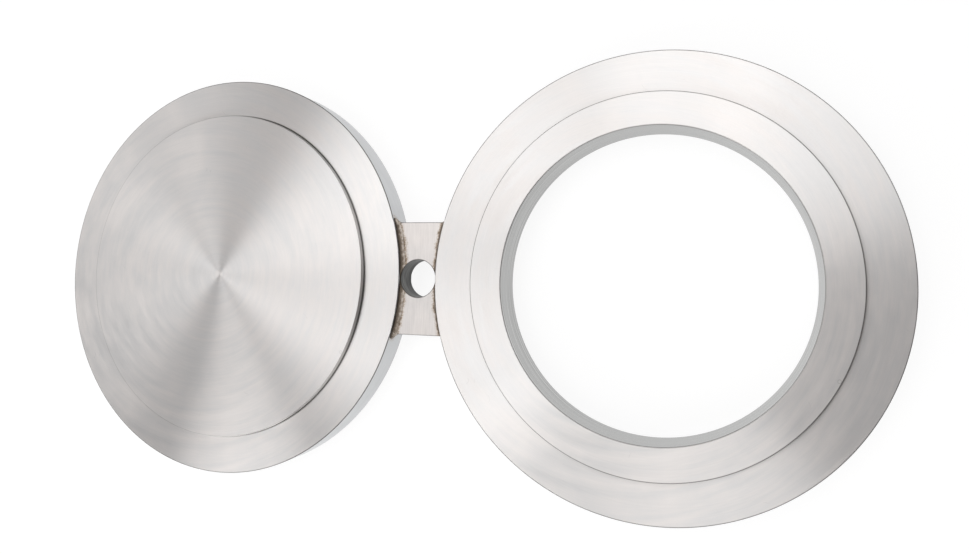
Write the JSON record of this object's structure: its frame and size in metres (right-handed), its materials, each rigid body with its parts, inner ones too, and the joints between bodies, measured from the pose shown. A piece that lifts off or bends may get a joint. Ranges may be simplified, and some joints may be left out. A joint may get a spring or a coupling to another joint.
{
  "type": "spectacle blind",
  "caption": "Turned steel blanking disc and spacer ring with raised faces, joined by a welded bar with a bolt hole, to close or open a flanged pipe line.",
  "frame": {"origin": "on the tie bar's bolt hole axis, in the plane of the back raised faces that the part lies on", "axes": "+X from the solid plate's centre to the ring's centre, +Z out of the front faces, +Y across the tie bar"},
  "size_m": [0.831, 0.397, 0.035],
  "materials": {
    "turned_steel": "stainless steel with fine concentric turning marks",
    "bar_steel": "stainless steel bar, ground across, with heat tint beside the welds",
    "weld_steel": "as-welded bead with dark brown heat tint"
  },
  "bodies": {
    "root": {"blind_plate": "turned_steel", "spacer_ring": "turned_steel", "tie_bar": "bar_steel", "blind_weld": "weld_steel", "ring_weld": "weld_steel"}
  },
  "joints": []
}
